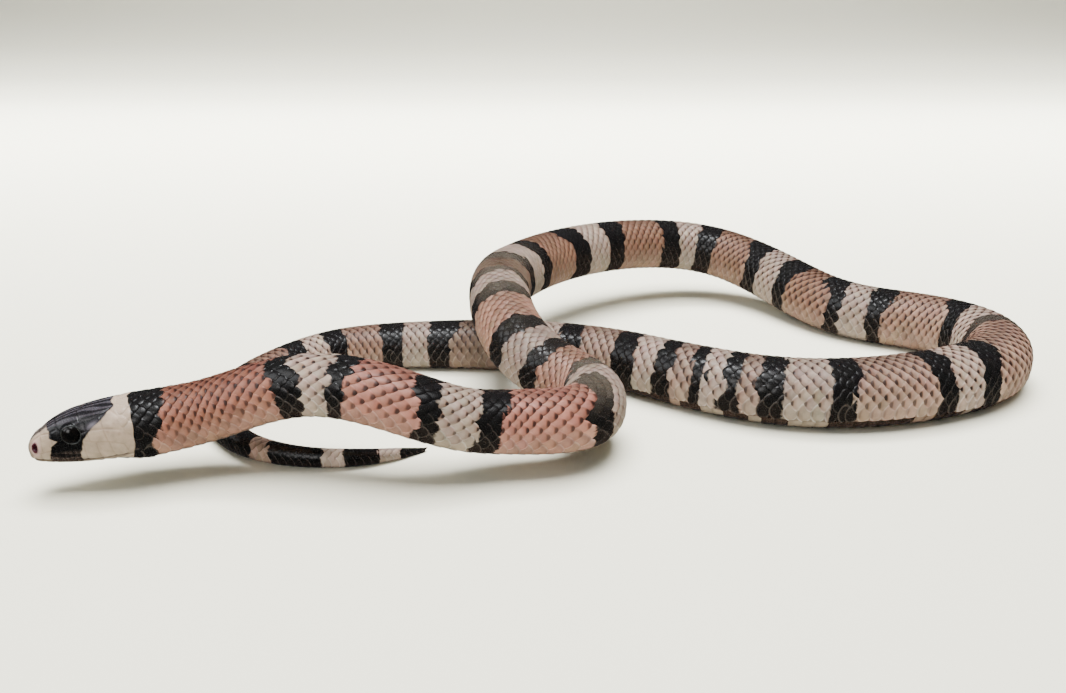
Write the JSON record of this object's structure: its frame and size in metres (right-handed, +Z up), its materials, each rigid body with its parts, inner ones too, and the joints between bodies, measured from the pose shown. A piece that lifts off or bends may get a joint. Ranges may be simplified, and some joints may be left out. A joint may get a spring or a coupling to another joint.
{
  "type": "milk snake",
  "caption": "Life-size still model of a young banded milk snake in a loose loop, belly on the floor, with head and neck raised.",
  "frame": {"origin": "middle of the animal's box, on the floor under its belly", "axes": "+Z up, +X to the picture's right along the length of the loop with the head towards -X, +Y away from the camera"},
  "size_m": [0.164, 0.1039, 0.0207],
  "materials": {
    "skin": "smooth overlapping scales with a satin sheen, banded in salmon, black and cream",
    "eye": "clear glossy spectacle over a very dark eye"
  },
  "bodies": {
    "root": {"head": "skin", "lower_jaw": "skin", "eye_left": "eye", "eye_right": "eye", "neck": "skin", "body_01": "skin", "body_02": "skin", "body_03": "skin", "body_04": "skin", "body_05": "skin", "body_06": "skin", "body_07": "skin", "body_08": "skin", "body_09": "skin", "body_10": "skin", "body_11": "skin", "tail_01": "skin", "tail_02": "skin", "tail_tip": "skin"}
  },
  "joints": []
}
